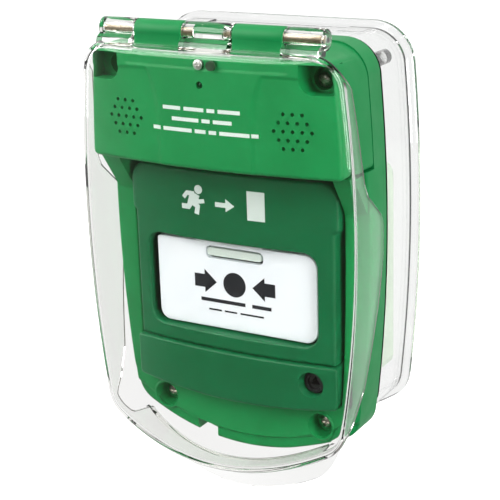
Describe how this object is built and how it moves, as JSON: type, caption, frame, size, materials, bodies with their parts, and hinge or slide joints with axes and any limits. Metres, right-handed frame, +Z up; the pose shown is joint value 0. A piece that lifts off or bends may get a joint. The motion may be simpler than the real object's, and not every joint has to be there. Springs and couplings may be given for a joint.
{
  "type": "manual call point",
  "caption": "Wall-mounted manual call point with a press plate, under a hinged clear cover with a built-in sounder, on a clear rear box.",
  "frame": {"origin": "middle of the rear face that lies against the wall, at the height of the call point's middle", "axes": "+Z up, +Y into the wall, front faces -Y, +X to the right seen from the front"},
  "size_m": [0.1536, 0.0875, 0.2442],
  "materials": {
    "clear_cover": "polished clear polycarbonate",
    "clear_box": "polished clear polycarbonate",
    "signal_green": "moulded, satin gloss",
    "deep_green": "moulded, fine spark texture",
    "box_green": "moulded, matt",
    "white_plate": "moulded, satin, black printed marks",
    "flag_yellow": "moulded",
    "flag_lens": "translucent",
    "black_plastic": "moulded",
    "circuit_board": "solder mask",
    "steel": "plated",
    "brass": "bright",
    "gasket": "soft",
    "grommet_rubber": "soft"
  },
  "bodies": {
    "station": {"rear_spacer": "clear_box", "spacer_seal": "gasket", "cable_grommet": "grommet_rubber", "base_frame": "signal_green", "sounder_housing": "signal_green", "hinge_pin_left": "steel", "hinge_pin_right": "steel", "sounder_board": "circuit_board", "piezo_sounder_left": "black_plastic", "piezo_sounder_right": "black_plastic", "battery": "black_plastic", "battery_snap": "brass", "reed_switch": "brass", "status_led": "flag_lens", "head_screw": "steel", "upper_screw_left": "steel", "upper_screw_right": "steel", "lower_screw_left": "steel", "lower_screw_right": "steel", "call_point_box": "box_green", "call_point_housing": "deep_green", "call_point_lower_cover": "deep_green", "call_point_board": "circuit_board", "microswitch": "black_plastic", "terminal_block": "black_plastic", "plate_spring_left": "steel", "plate_spring_right": "steel"},
    "cover": {"cover": "clear_cover", "cover_magnet": "black_plastic"},
    "plate": {"press_plate": "white_plate", "flag_window": "flag_lens"},
    "flag": {"indicator_flag": "flag_yellow"},
    "plunger": {"microswitch_plunger": "flag_yellow"},
    "key": {"key_barrel": "black_plastic", "reset_cam": "white_plate"}
  },
  "joints": [
    {"name": "cover_hinge", "type": "hinge", "parent": "station", "child": "cover", "pos_m": [0, -0.073, 0.1], "axis": [-1, 0, 0], "range_deg": [0, 110]},
    {"name": "plate_press", "type": "slide", "parent": "station", "child": "plate", "axis": [0, 1, 0], "range_m": [0, 0.003], "deforming": ["plate_spring_left", "plate_spring_right"]},
    {"name": "flag_drop", "type": "slide", "parent": "station", "child": "flag", "axis": [0, 0, -1], "range_m": [0, 0.006]},
    {"name": "plunger_press", "type": "slide", "parent": "station", "child": "plunger", "axis": [0, 1, 0], "range_m": [0, 0.003]},
    {"name": "key_turn", "type": "hinge", "parent": "station", "child": "key", "pos_m": [0.045, -0.045, -0.0735], "axis": [0, 1, 0], "range_deg": [0, 90]}
  ],
  "couplings": [
    {"joint": "flag_drop", "follows": "plate_press", "ratio": 2},
    {"joint": "plunger_press", "follows": "plate_press", "ratio": 1}
  ]
}
